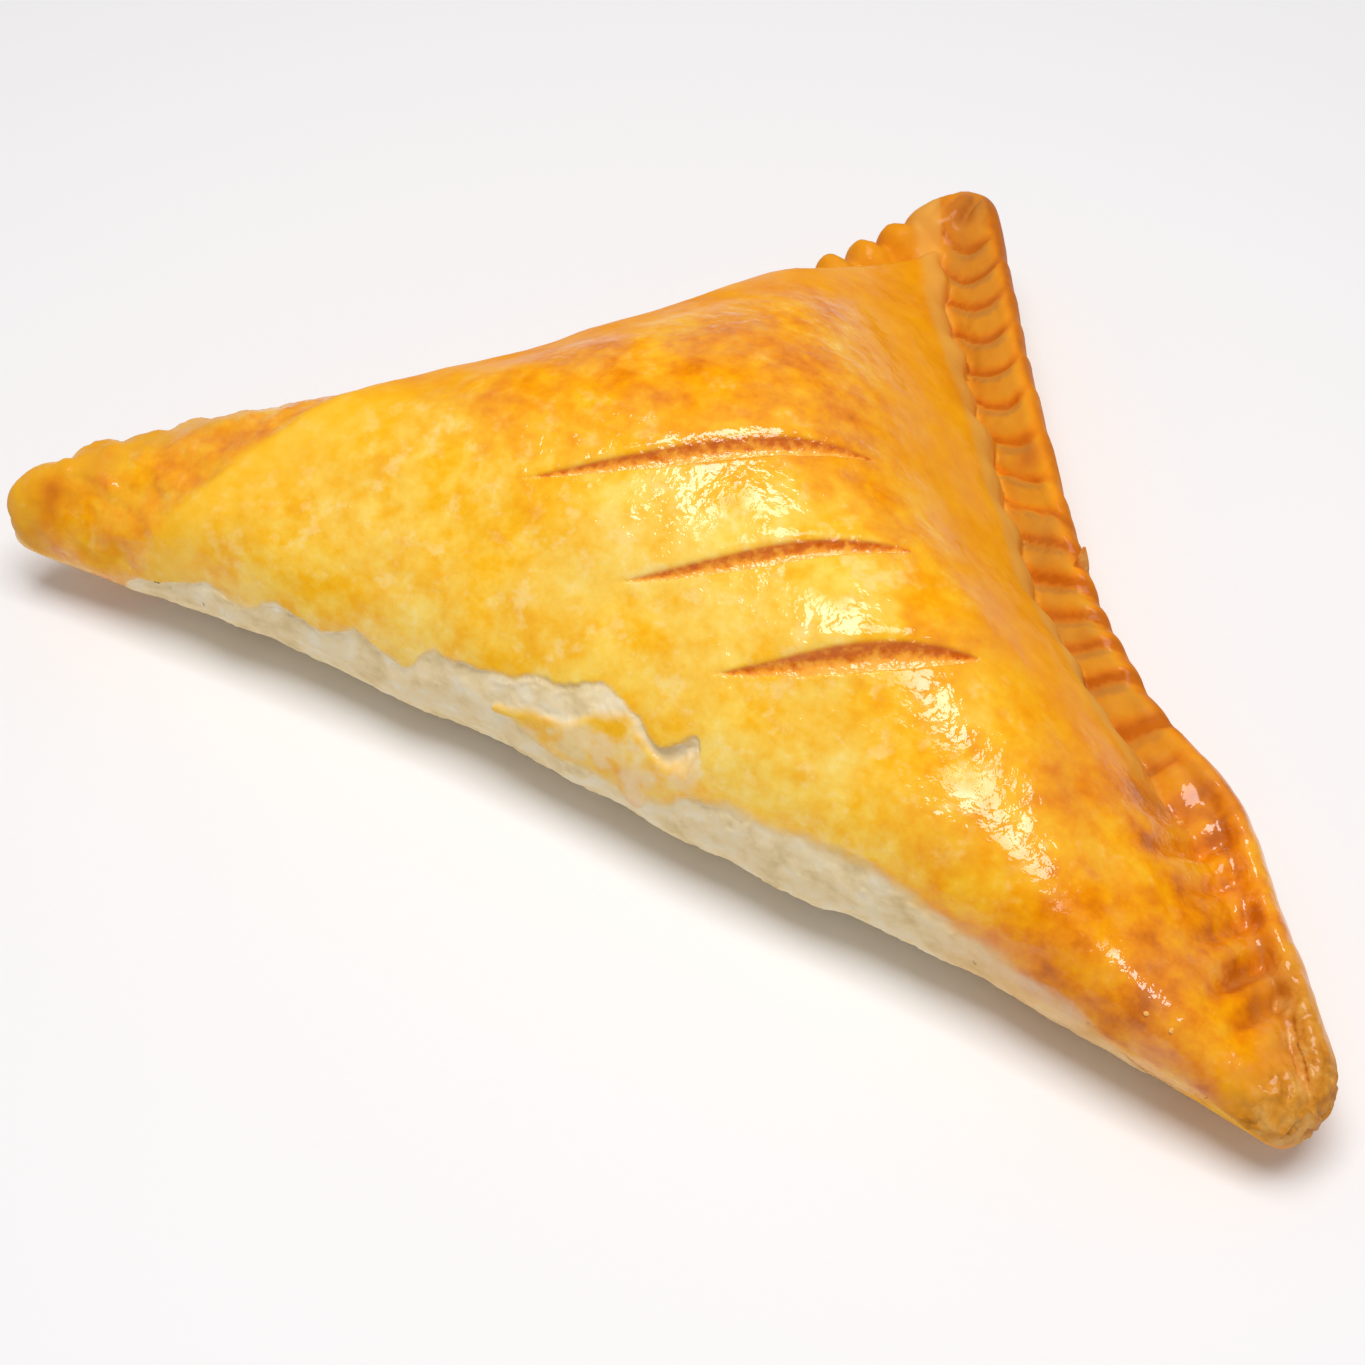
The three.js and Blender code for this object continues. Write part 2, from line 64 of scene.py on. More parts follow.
# Gentle swells and hollows of the dome: place in plan, spread and height
DOME_SWELLS = (
    (-57.0, 31.0, 9.0, 2.1), (-38.0, 46.0, 8.0, -1.0), (-18.0, 75.0, 9.0, 1.2), (-10.0, 105.0, 6.0, 1.8),
    (-74.0, 18.0, 7.0, -1.0),
)

# Heights above the table, and how far the dome's rise reaches in from each edge
DOME_TOP = 39.6
TIP_LIFT = {"left": 14.9, "right": 9.0, "apex": 14.2}
LEFT_LEG_SAG = 4.2
FOLD_NOSE = 11.5
FOLD_RISE = 40.5
RIGHT_LEG_RISE = 35.5
RIGHT_LEG_RISE_POWER = 1.35
RIGHT_TIP_RISE_POWER = 1.9
LEFT_LEG_RISE = 33.4
LEFT_LEG_RISE_POWER = 0.7
LEFT_TIP_RISE_POWER = 1.1
FOLD_UNDERCUT = 14.6
LEG_UNDERCUT = 20.2

# Fork-pressed border. Towards the right tip it passes into a wrinkled slope: the stretch along the leg
# where it does so, how far in the wrinkles reach and where the dome starts to rise there. Midway the dome
# stands back from the waist, given as a place along the leg, a spread and a depth.
BORDER_WIDTH = 8.1
RIGHT_TIP_FROM = (-40.0, -14.0)
RIGHT_TIP_WRINKLES = 13.6
RIGHT_TIP_FOOT = 5.8
WAIST_FOOT = (2.0, 18.0, 1.8)
LEFT_TIP_FROM = (22.0, 46.0)
LEFT_TIP_FOOT = 1.0
LEFT_TIP_REACH = 6.0
BORDER_THICKNESS = 7.0
LEFT_TIP_THICKNESS = 4.4
BORDER_ROUNDING = 3.8

# Grooves pressed by the fork: how many have passed at places along each leg, their lean along the right
# leg, and how far in from the rim the count holds
RIGHT_GROOVES = (
    (-62.0, -11.0), (-24.5, -4.0), (-19.3, -3.0), (-10.0, -2.0), (0.5, 0.0), (12.4, 2.0), (26.8, 5.0),
    (55.6, 10.0), (80.0, 14.5),
)
RIDGE_LEAN = (
    (-60.0, -0.6), (-30.0, -0.2), (-22.0, 0.05), (-10.0, 0.4), (8.0, 1.1), (20.0, 1.1), (32.0, 0.4),
    (60.0, 0.4),
)
COUNTED_AT = 6.5
LEFT_GROOVES = ((-80.0, -14.0), (20.0, 4.0), (80.0, 12.8))

# Depths of the round pillows, of the pockets and of the right tip's wrinkles, the arch of the upper
# imprints, where rolls take the place of pockets, the rims' scallops and the width of the smooth rim
PILLOW_DEPTH = 2.2
LEFT_PILLOW_DEPTH = 1.6
POCKET_DEPTH = 1.6
WRINKLE_DEPTH = 1.9
APEX_GROOVES = {"pitch": 3.4, "depth": 1.5, "shift": 0.3}
PILLOW_ARCH = 2.0
ARCH_REACH = 2.8
ROLLED_MIDWAY = (-22.0, -16.0, 10.0, 18.0)
SCALLOP = 0.35
LEFT_SCALLOP = 0.95
SMOOTH_RIM = {"apex": 2.6, "midway": 1.0, "right_tip": 3.6}

# Seam between the top sheet and the rolled rim by the right tip: distance in from the rim, depth and width
SEAM = {"inset": 4.4, "depth": 0.9, "width": 0.9}

# Crease where the filled dome ends and the flat left ear begins, with the step down to the ear
LEFT_CREASE = {"from": (-57.0, 20.5), "to": (-66.9, 2.5), "step": 1.1, "half_width": 1.7}

# Slits across the dome: both ends in plan, sideways bow, half width and depth
SLITS = (
    ((-25.5, 21.9), (11.0, 44.8), -1.1, 1.75, 1.5),
    ((-9.4, 16.5), (20.6, 35.2), -1.2, 1.5, 1.4),
    ((5.9, 12.3), (33.0, 26.8), -1.1, 1.9, 1.7),
)

# Torn lower edge of the washed skin on the fold's face, as places along the fold and heights, from left to
# right: first the main edge, then the top and the bottom of the flap that has slipped down below the crack
SKIN_EDGE = (
    (-76.0, 3.0), (-67.0, 11.0), (-58.0, 14.6), (-52.5, 13.6), (-48.0, 16.0), (-41.0, 14.5), (-36.5, 16.6),
    (-29.8, 15.0), (-25.6, 18.9), (-18.0, 19.5), (-11.0, 20.8), (-4.0, 23.1), (0.5, 22.3), (4.5, 20.2),
    (8.3, 22.8), (10.4, 21.0), (10.7, 16.4), (13.5, 17.3), (21.0, 17.9), (31.0, 17.8), (43.0, 15.4),
    (55.6, 13.2), (62.0, 10.9), (70.0, 3.0),
)
FLAP_TOP = (
    (-17.5, 14.6), (-12.5, 16.6), (-8.7, 16.4), (-4.3, 20.4), (-0.6, 21.3), (2.4, 19.4), (5.3, 18.6),
    (8.0, 19.6), (11.2, 23.0),
)
FLAP_BOTTOM = ((-17.5, 14.6), (-11.2, 12.6), (-1.0, 12.8), (2.2, 10.9), (4.3, 13.2), (11.2, 16.5))

# How far the bare dough lies behind the skin, more so in the crack, with the pocket at the crack's right
# end, and the height of the dough's leaves
SKIN_THICKNESS = 0.34
CRACK_DEPTH = 0.1
CRACK_POCKET = {"x": 7.3, "z": 20.2, "size": 2.6, "depth": 1.3}
LAYER_STEP = 0.24

# Longest mesh edge in each zone, in millimetres, how often the dough is divided and evened out, and the
# least upward share of a face that doesn't count as steep
DOME_MESH = 1.6
UNDERSIDE_MESH = 3.0
RIM_BELOW_MESH = 1.5
RIGHT_BORDER_MESH = 0.95
LEFT_BORDER_MESH = 1.15
SIDE_MESH = 0.86
UNDER_FOLD_MESH = 1.1
TEAR_MESH = 0.55
SLIT_MESH = 0.48
PAPERY_MESH = 0.7
OUTLINE_MESH = 0.6
OUTLINE_ROUNDS = 2
REFINING_ROUNDS = 7
RELAXING_ROUNDS = 40
STEEP = 0.6

# Spots where the crust has browned more: place in plan, size and how much
BROWN_SPOTS = (
    (-80.8, 4.4, 2.2, 0.30), (19.9, 70.6, 1.6, 0.30), (53.3, 27.6, 3.4, 0.26), (56.3, 20.9, 2.4, 0.22),
    (-6.3, 105.9, 2.6, 0.22), (-6.6, 109.5, 2.4, 0.10), (-60.0, 19.5, 3.0, 0.12), (64.0, 9.1, 3.0, 0.12),
    (54.0, 4.6, 9.0, 0.08),
)

# The darkest the washed crust goes, both where it has browned and where painted shade darkens it
DARKEST_CRUST = 0.80

# Crumbs that cling to the crust, as places in plan and sizes, and the loose flake that stands on the rim
CRUMBS = ((57.6, 30.9, 0.55), (64.7, 3.2, 0.3), (67.7, 3.0, 0.35))
CRUMB_SEED = 7
LOOSE_FLAKE = {"at": (33.0, 58.0), "height": 4.4, "width": 2.2, "thickness": 0.35}

# Viewpoint of the photograph
CAMERA_AZIMUTH = math.radians(29.7)
CAMERA_ELEVATION = math.radians(50.9)
CAMERA_DISTANCE = 303.2 * MM
CAMERA_TARGET = Vector(np.array((-2.33, 22.86, 9.5)) - FORM_MIDDLE) * MM
CAMERA_ANGLE = math.radians(30)


# Small measures shared by the form
def ramp(low, high, value):
    t = np.clip((value - low) / (high - low), 0, 1)
    return t * t * (3 - 2 * t)


def mix(a, b, t):
    return a + (b - a) * t


def hump(value, at, spread):
    return np.exp(-(((value - at) / spread) ** 2))


def quarter_rise(distance, reach):
    return np.sqrt(1 - (1 - np.clip(distance / reach, 0, 1)) ** 2)


def smooth_min(values, rounding):
    values = np.stack(np.broadcast_arrays(*values))
    least = values.min(axis=0)
    return least - rounding * np.log(np.exp((least - values) / rounding).sum(axis=0))


# A curve through a few points that eases from each to the next
def eased_curve(points, x):
    xs, heights = (np.array(v) for v in zip(*points))
    i = np.clip(np.searchsorted(xs, x) - 1, 0, len(xs) - 2)
    return mix(heights[i], heights[i + 1], ramp(xs[i], xs[i + 1], x))


# Smooth random unevenness between about -1 and 1, with lumps of the given sizes in millimetres
def unevenness(x, y, z, size, octaves):
    sx, sy, sz = size
    coarse = np.stack((x / sx, y / sy, z / sz), axis=1)
    return np.array([noise.fractal(p, 0.9, 2.1, octaves) for p in coarse.tolist()])


# Plan of the turnover
CORNERS = {
    "left": np.array((-FOLD_LENGTH / 2, 0.0)),
    "right": np.array((FOLD_LENGTH / 2, 0.0)),
    "apex": np.array((APEX_SHIFT, APEX_DEPTH)),
}


def make_edge(start, end, bow, bend):
    along = CORNERS[end] - CORNERS[start]
    half = np.linalg.norm(along) / 2
    along = along / (2 * half)
    inward = np.array((-along[1], along[0]))
    middle = (CORNERS[start] + CORNERS[end]) / 2
    return SimpleNamespace(middle=middle, along=along, inward=inward, half=half, bow=bow, bend=bend)


FOLD = make_edge("left", "right", -4.4, 1.0)
RIGHT_LEG = make_edge("right", "apex", -4.3, -2.6)
LEFT_LEG = make_edge("apex", "left", -5.2, 1.1)


def along_edge(edge, x, y):
    return (x - edge.middle[0]) * edge.along[0] + (y - edge.middle[1]) * edge.along[1]


# Distance inward from an edge's bowed and bent line
def inset_from(edge, x, y):
    t = along_edge(edge, x, y) / edge.half
    straight = (x - edge.middle[0]) * edge.inward[0] + (y - edge.middle[1]) * edge.inward[1]
    return straight + (edge.bow + 2.6 * edge.bend * t) * (1 - np.minimum(t * t, 1))


def unit(v):
    return v / np.linalg.norm(v)


def make_tip(name):
    corner = CORNERS[name]
    bisector = unit(sum(unit(CORNERS[other] - corner) for other in CORNERS if other != name))
    return SimpleNamespace(corner=corner, bisector=bisector, cut=TIP_CUT[name], lift=TIP_LIFT[name])


TIPS = {name: make_tip(name) for name in CORNERS}


def inset_from_tip(tip, x, y):
    return (x - tip.corner[0]) * tip.bisector[0] + (y - tip.corner[1]) * tip.bisector[1] - tip.cut


# How deep the fork has pressed: round pillows between grooves at the whole counts, or pockets that deepen
# towards a ridge
def pillows(count):
    return 1 - np.sqrt(np.sin(np.pi * count) ** 2 + 0.04)


def pockets(count):
    above = count - np.floor(count)
    return ramp(0, 0.34, above) * (1 - above) ** 0.8


def linear_curve(points, x):
    xs, values = zip(*points)
    return np.interp(x, xs, values)


def shift_at(shifts, u):
    return sum(depth * hump(u, place, spread) for place, spread, depth in shifts)


def insets_at(x, y):
    at = SimpleNamespace()
    at.right = inset_from(RIGHT_LEG, x, y)
    at.left = inset_from(LEFT_LEG, x, y)
    at.right_u = along_edge(RIGHT_LEG, x, y)
    at.left_u = along_edge(LEFT_LEG, x, y)
    at.fold = inset_from(FOLD, x, y) - shift_at(FOLD_SHIFTS, along_edge(FOLD, x, y))
    at.right_rim = at.right - shift_at(RIGHT_RIM_SHIFTS, at.right_u)
    at.left_rim = at.left - shift_at(LEFT_RIM_SHIFTS, at.left_u)
    at.from_left_tip = inset_from_tip(TIPS["left"], x, y)
    at.from_right_tip = inset_from_tip(TIPS["right"], x, y)
    at.from_apex = inset_from_tip(TIPS["apex"], x, y)
    press_legs(at)
    sides = [
        at.fold,
        at.right_rim - SCALLOP * at.right_pressed * (1 - 0.8 * at.right_tip),
        at.left_rim - LEFT_SCALLOP * at.left_pressed,
    ]
    at.outline = smooth_min(sides + [at.from_left_tip, at.from_right_tip, at.from_apex], TIP_ROUNDING)
    return at


# How deep both legs are pressed. The imprints fade out towards the tips.
def press_legs(at):
    lean = eased_curve(RIDGE_LEAN, at.right_u)
    off_middle = np.minimum(((at.right_rim - 5) / ARCH_REACH) ** 2, 1.6)
    arched = PILLOW_ARCH * off_middle * ramp(14, 26, at.right_u)
    at.right_count = linear_curve(RIGHT_GROOVES, at.right_u - lean * (at.right_rim - COUNTED_AT) - arched)
    wander = 0.2 * np.sin(0.13 * at.left_u)
    at.left_count = linear_curve(LEFT_GROOVES, at.left_u) + 0.06 * at.left_rim + wander
    at.right_tip = 1 - ramp(*RIGHT_TIP_FROM, at.right_u)
    rolls_from, rolls, rolls_to, no_rolls = ROLLED_MIDWAY
    at.rolled = ramp(rolls_from, rolls, at.right_u) * (1 - ramp(rolls_to, no_rolls, at.right_u))
    round_ones = np.maximum(mix(0.2, 0.65, at.rolled), at.right_tip)
    depth = mix(POCKET_DEPTH, mix(PILLOW_DEPTH, WRINKLE_DEPTH, at.right_tip), round_ones)
    depth = depth * (0.85 + 0.3 * np.sin(1.9 * at.right_count))
    at.right_pressed = depth * mix(pockets(at.right_count), pillows(at.right_count), round_ones)
    at.off_apex = ramp(7, 13, at.from_apex)
    at.right_pressed = at.right_pressed * ramp(3, 14, at.from_right_tip) * at.off_apex
    off_left_tip = ramp(2, 9, at.from_left_tip)
    at.left_pressed = LEFT_PILLOW_DEPTH * pillows(at.left_count) * off_left_tip * at.off_apex


# How far the sealed rim is lifted off the table
def rim_lift(x, y, left):
    weights = 0
    lifted = 0
    for tip in TIPS.values():
        weight = ((x - tip.corner[0]) ** 2 + (y - tip.corner[1]) ** 2 + 300) ** -1.5
        weights = weights + weight
        lifted = lifted + weight * tip.lift
    t = along_edge(LEFT_LEG, x, y) / LEFT_LEG.half
    return lifted / weights - LEFT_LEG_SAG * np.maximum(1 - t * t, 0) * (1 - ramp(0, 25, left))


# How far beyond the left crease a place lies, and how much it belongs to the ear
def on_left_ear(x, y):
    x0, y0 = LEFT_CREASE["from"]
    x1, y1 = LEFT_CREASE["to"]
    half_width = LEFT_CREASE["half_width"]
    length = math.hypot(x1 - x0, y1 - y0)
    beyond = ((x - x0) * (y1 - y0) - (y - y0) * (x1 - x0)) / length
    return beyond, ramp(-half_width, half_width, beyond)


# Where the dome's foot runs above the right border, and how far a place lies past it
def right_foot(at, right):
    waist, waist_spread, waist_foot = WAIST_FOOT
    waist_foot = waist_foot * hump(at.right_u, waist, waist_spread)
    at.right_border = mix(BORDER_WIDTH, RIGHT_TIP_WRINKLES, at.right_tip) + waist_foot
    foot = mix(BORDER_WIDTH, RIGHT_TIP_FOOT, at.right_tip) + waist_foot
    at.past_foot = right - foot
    wavy = 0.8 * np.sin(0.62 * at.right_u) * np.sin(0.23 * at.right_u + 1.0) * (1 - at.right_tip)
    return foot + wavy * np.exp(-np.maximum(at.past_foot, 0) / 2.5)


# Marks pressed into the upper side: the fork's imprints on both legs, the grooves over the apex and the
# seam by the right tip
def press_marks(x, y, at, left, right, left_tip):
    smooth_rim = mix(SMOOTH_RIM["apex"], SMOOTH_RIM["midway"], at.rolled)
    smooth_rim = mix(smooth_rim, SMOOTH_RIM["right_tip"], at.right_tip)
    on_right = ramp(smooth_rim - 0.8, smooth_rim + 1.4, at.right_rim)
    fade = mix(0.8, 4.5, at.right_tip)
    on_right = on_right * (1 - ramp(at.right_border - fade, at.right_border + 1.2, right))
    left_reach = mix(BORDER_WIDTH, LEFT_TIP_REACH, left_tip)
    left_fade = mix(1, 5, left_tip)
    on_left = ramp(0.3, 2.2, at.left_rim) * (1 - ramp(left_reach - left_fade, left_reach + 1.6, left))
    at.groove = np.maximum(on_right * at.right_pressed, on_left * at.left_pressed)
    above_ridge = at.right_count - np.floor(at.right_count)
    pocketed = on_right * (1 - at.right_tip) * at.off_apex
    # The crescents at the lower end of each imprint, just above its ridge, where painted shade darkens the
    # crust
    at.crescent = pocketed * ramp(0.02, 0.2, above_ridge) * (1 - ramp(0.22, 0.55, above_ridge))
    at.ridge = pocketed * (1 - ramp(0.04, 0.2, np.minimum(above_ridge, 1 - above_ridge)))
    apex = TIPS["apex"]
    across_apex = (x - apex.corner[0]) * apex.bisector[1] - (y - apex.corner[1]) * apex.bisector[0]
    on_apex = ramp(1, 3, at.from_apex) * (1 - ramp(7, 11, at.from_apex)) * ramp(1, 3, at.outline)
    apex_pillows = pillows(across_apex / APEX_GROOVES["pitch"] + APEX_GROOVES["shift"])
    at.groove = np.maximum(at.groove, on_apex * APEX_GROOVES["depth"] * apex_pillows)
    by_seam = hump(at.right_rim, SEAM["inset"], SEAM["width"])
    at.seam = at.right_tip * ramp(0.5, 4, at.from_right_tip) * by_seam


# Heights of the upper and the under side at places in plan
def heights_at(x, y):
    at = insets_at(x, y)
    fold = np.maximum(at.fold, 0)
    right = np.maximum(at.right, 0)
    left = np.maximum(at.left, 0)
    leg = np.maximum(smooth_min([right, left], 3), 0)
    lift = rim_lift(x, y, at.left)
    tilt = np.clip(1 - leg / LEG_UNDERCUT, 0, 1)
    by_fold = ramp(0, LEG_UNDERCUT, leg)
    under = lift * tilt**2 + FOLD_NOSE * (1 - quarter_rise(fold, FOLD_UNDERCUT)) * by_fold

    left_tip = ramp(*LEFT_TIP_FROM, at.left_u)
    thickness = mix(BORDER_THICKNESS, LEFT_TIP_THICKNESS, left_tip)
    rim = thickness * quarter_rise(np.maximum(at.outline, 0), BORDER_ROUNDING)
    border = lift * tilt + rim * mix(1, 0.6, by_fold)
    base = mix(border, FOLD_NOSE, by_fold * (1 - ramp(0, 14, fold)))
    foot = right_foot(at, right)
    power = mix(RIGHT_LEG_RISE_POWER, RIGHT_TIP_RISE_POWER, at.right_tip)
    left_foot = mix(BORDER_WIDTH, LEFT_TIP_FOOT, left_tip)
    left_power = mix(LEFT_LEG_RISE_POWER, LEFT_TIP_RISE_POWER, left_tip)
    swell = (
        quarter_rise(fold, FOLD_RISE)
        * quarter_rise(right - foot, RIGHT_LEG_RISE) ** power
        * quarter_rise(left - left_foot, LEFT_LEG_RISE) ** left_power
    )
    lumps = 0.5 * np.sin(0.085 * x + 0.6) * np.sin(0.1 * y + 1.1) + 0.3 * np.sin(0.19 * x - 0.12 * y)
    top = base + (DOME_TOP + lumps - base) * swell
    for place_x, place_y, spread, height in DOME_SWELLS:
        top = top + height * hump(np.hypot(x - place_x, y - place_y), 0, spread) * ramp(0, 4, at.outline)

    press_marks(x, y, at, left, right, left_tip)
    beyond_crease, at.left_ear = on_left_ear(x, y)
    ear_step = LEFT_CREASE["step"] * at.left_ear * (1 - ramp(2, 14, beyond_crease)) * ramp(1, 4, at.outline)
    top = top - at.groove - SEAM["depth"] * at.seam - ear_step
    at.by_fold = by_fold
    at.under = under
    at.top = np.maximum(top, under + 0.5 * rim)
    return at


# Distance across from a slit's middle line, how far it opens there, and how far a place is beyond its ends
def slit_place(slit, x, y):
    start, end, bow = slit[:3]
    start = np.array(start)
    end = np.array(end)
    half = np.linalg.norm(end - start) / 2
    along = (end - start) / (2 * half)
    middle = (start + end) / 2
    t = ((x - middle[0]) * along[0] + (y - middle[1]) * along[1]) / half
    off = -(x - middle[0]) * along[1] + (y - middle[1]) * along[0] - bow * (1 - t * t)
    s = np.clip((t + 1) / 2, 0, 1)
    opening = s**1.3 * (1 - s) ** 0.75 / 0.26
    beyond = np.maximum(np.abs(t) - 1, 0) * half
    return off, opening, beyond


# How deep the slits cut, how much their lips stand up, how near a cut is and how far across it, from 0 at
# one lip to 1 at the other, at places in plan
def slit_relief(x, y):
    depths = np.zeros_like(x)
    lips = np.zeros_like(x)
    nearest = np.full_like(x, 99.0)
    crossed = np.zeros_like(x)
    for slit in SLITS:
        half_width, deepest = slit[3:]
        off, opening, beyond = slit_place(slit, x, y)
        width = np.maximum(half_width * opening, 0.05)
        across = np.clip((off / width + 1) / 2, 0, 1)
        section = ramp(0, 0.2, across) * ramp(0, 0.5, 1 - across)
        depth = deepest * opening**0.6 * section * ramp(0.03, 0.2, opening) * (beyond == 0)
        crossed = np.where(depth > depths, across, crossed)
        depths = np.maximum(depths, depth)
        outside = np.hypot(beyond, np.maximum(np.abs(off) - width, 0))
        lips = np.maximum(lips, 0.12 * opening**0.5 * hump(outside, 0.8, 0.9) * (off > 0))
        nearest = np.minimum(nearest, outside)
    return depths, lips, nearest, crossed


# How far inside the washed skin's torn edge a place on the fold's face is: below 0 the dough is bare
def skin_cover(x, z):
    ragged = 0.8 * unevenness(x, z, z, (5.0, 4.0, 90.0), 4)
    main = z - eased_curve(SKIN_EDGE, x) + ragged
    patchy = ragged + 0.9 * unevenness(x + 40, z, z, (5.5, 3.5, 90.0), 2)
    flap = np.minimum(z - eased_curve(FLAP_BOTTOM, x), eased_curve(FLAP_TOP, x) - z) + patchy
    in_flap = (x > FLAP_TOP[0][0]) & (x < FLAP_TOP[-1][0])
    return np.where(in_flap, np.maximum(main, flap), main)


# Outline radius about the middle of the inscribed circle, in every direction
def plan_middle():
    right_leg = 2 * RIGHT_LEG.half
    left_leg = 2 * LEFT_LEG.half
    weighted = right_leg * CORNERS["left"] + left_leg * CORNERS["right"] + FOLD_LENGTH * CORNERS["apex"]
    return weighted / (right_leg + left_leg + FOLD_LENGTH)


PLAN_MIDDLE = plan_middle()
OUTLINE_SAMPLES = 2880


def outline_table():
    angles = np.linspace(-np.pi, np.pi, OUTLINE_SAMPLES + 1)
    near = np.zeros_like(angles)
    far = np.full_like(angles, FOLD_LENGTH)
    for _ in range(40):
        middle = (near + far) / 2
        x = PLAN_MIDDLE[0] + middle * np.cos(angles)
        y = PLAN_MIDDLE[1] + middle * np.sin(angles)
        inside = insets_at(x, y).outline > 0
        near = np.where(inside, middle, near)
        far = np.where(inside, far, middle)
    swept = np.concatenate(((0,), np.cumsum((near[1:] ** 2 + near[:-1] ** 2) / 2)))
    turns = -np.pi + 2 * np.pi * swept / swept[-1]
    return angles, near, turns


OUTLINE_ANGLES, OUTLINE_RADII, OUTLINE_TURNS = outline_table()


# Place in plan at an angle about the middle and a share of the way in from the outline
def plan_place(angle, inward):
    radius = np.interp(angle, OUTLINE_ANGLES, OUTLINE_RADII) * (1 - inward)
    return PLAN_MIDDLE[0] + radius * np.cos(angle), PLAN_MIDDLE[1] + radius * np.sin(angle)


# Presses a ball of dough flat: places in plan, with a side that is 1 above, -1 below and 0 on the outline
def flatten(ball):
    angle = np.interp(np.arctan2(ball[:, 1], ball[:, 0]), OUTLINE_TURNS, OUTLINE_ANGLES)
    latitude = np.arcsin(np.clip(ball[:, 2], -1, 1))
    x, y = plan_place(angle, np.abs(latitude) / (math.pi / 2))
    return np.stack((x, y, np.sign(np.round(latitude, 4))), axis=1)


# Brings newly split places back onto the outline, or fully to the upper or the under side
def settle(flat):
    x, y, side = flat.T
    side = np.sign(np.round(side, 2))
    angle = np.arctan2(y - PLAN_MIDDLE[1], x - PLAN_MIDDLE[0])
    rim_x, rim_y = plan_place(angle, 0)
    return np.stack((np.where(side == 0, rim_x, x), np.where(side == 0, rim_y, y), side), axis=1)


# Raises the flat dough into the form: returns the places in millimetres and what they belong to
def press_dough(flat):
    x, y, side = flat.T
    at = heights_at(x, y)
    at.upper = side >= 0
    z = np.where(side > 0, at.top, np.where(side < 0, at.under, (at.top + at.under) / 2))

    depth, lips, nearest, at.slit_across = slit_relief(x, y)
    at.slit = np.where(at.upper, depth, 0)
    at.from_slit = np.where(at.upper, nearest, 99.0)
    z = z - at.slit + np.where(at.upper & (at.slit == 0), lips, 0)

    at.facing = at.by_fold * (1 - ramp(9, 15, at.fold))
    at.cover = np.where(at.facing > 0, skin_cover(x, z), 9.0)
    on_flap = ramp(-18, -14, x) * (1 - ramp(10, 13, x)) * (eased_curve(SKIN_EDGE, x) - 0.5 > z)
    softness = np.maximum(mix(0.4, 1.3, ramp(9, 17, x)), 0.8 * on_flap)
    at.bare = at.facing * (1 - ramp(-softness, softness, at.cover)) * (1 - 0.45 * ramp(34, 54, x))
    patchy = ramp(-0.25, 0.35, unevenness(x, y, z, (3.4, 3.4, 3.4), 3))
    at.flap = on_flap * at.facing * patchy
    in_crack = ramp(14, 16, z) * ramp(-30, -20, x) * (1 - ramp(9, 11, x))
    from_pocket = np.hypot(x - CRACK_POCKET["x"], z - CRACK_POCKET["z"])
    pocket = CRACK_POCKET["depth"] * hump(from_pocket, 0, CRACK_POCKET["size"])
    set_back = at.bare * (SKIN_THICKNESS + CRACK_DEPTH * in_crack + pocket)
    places = np.stack((x, y + set_back, z), axis=1)
    return places, at


# How papery and flaked the crust is: along the seam by the right tip and over that tip's end
def papery_share(at):
    along_seam = at.right_tip * (1 - ramp(-58, -44, at.right_u)) * hump(at.right_rim, 3.6, 3.0)
    at_end = 1 - ramp(3, 9, at.from_right_tip)
    return np.clip(np.maximum(along_seam, at_end), 0, 1)


# Longest mesh edge allowed at each place
def mesh_size(places, at):
    on_right = at.right - at.right_border < 3
    on_left = at.left - BORDER_WIDTH < 3
    size = np.where(at.upper, DOME_MESH, UNDERSIDE_MESH)
    size = np.where(on_left & at.upper, LEFT_BORDER_MESH, size)
    size = np.where(on_right & at.upper, RIGHT_BORDER_MESH, size)
    size = np.where((on_right | on_left) & ~at.upper & (at.outline < 4), RIM_BELOW_MESH, size)
    on_side = (at.facing > 0.05) & (places[:, 2] < 26) & (at.fold < 12)
    size = np.where(on_side, np.minimum(size, np.where(places[:, 2] > 4, SIDE_MESH, UNDER_FOLD_MESH)), size)
    size = np.where(on_side & (np.abs(at.cover) < 1.0), TEAR_MESH, size)
    size = np.where(at.from_slit < 1.3, SLIT_MESH, size)
    size = np.where(at.upper & (papery_share(at) > 0.3), np.minimum(size, PAPERY_MESH), size)
    return size


def vertex_places(bm):
    return np.array([v.co for v in bm.verts], dtype=float)


def place_vertices(bm, places):
    for vertex, place in zip(bm.verts, places.tolist()):
        vertex.co = place


# Evens out the flat dough, with its outline kept
def relax(bm):
    inner = [v for v in bm.verts if v.co.z != 0]
    for _ in range(RELAXING_ROUNDS):
        bmesh.ops.smooth_vert(bm, verts=inner, factor=0.5, use_axis_x=True, use_axis_y=True)


# Turns the edges between long thin triangles, as they come to lie in the form. While edges are still to be
# split in plan, those on steep faces are left as they are.
def turn_thin_triangles(bm, places, steepest):
    place_vertices(bm, places)
    bm.normal_update()
    edges = [e for e in bm.edges if min(abs(f.normal.z) for f in e.link_faces) >= steepest]
    bmesh.ops.beautify_fill(bm, faces=bm.faces[:], edges=edges, method="AREA")


# Takes out pairs of triangles that lie folded between the same three vertices
def drop_folded(bm):
    bm.verts.index_update()
    by_corners = {}
    for face in bm.faces:
        by_corners.setdefault(frozenset(v.index for v in face.verts), []).append(face)
    folded = [face for faces in by_corners.values() if len(faces) > 1 for face in faces]
    bmesh.ops.delete(bm, geom=folded, context="FACES")


def split_edges(bm, edges):
    bmesh.ops.subdivide_edges(bm, edges=edges, cuts=1)
    bmesh.ops.triangulate(bm, faces=[f for f in bm.faces if len(f.verts) > 3])
    drop_folded(bm)


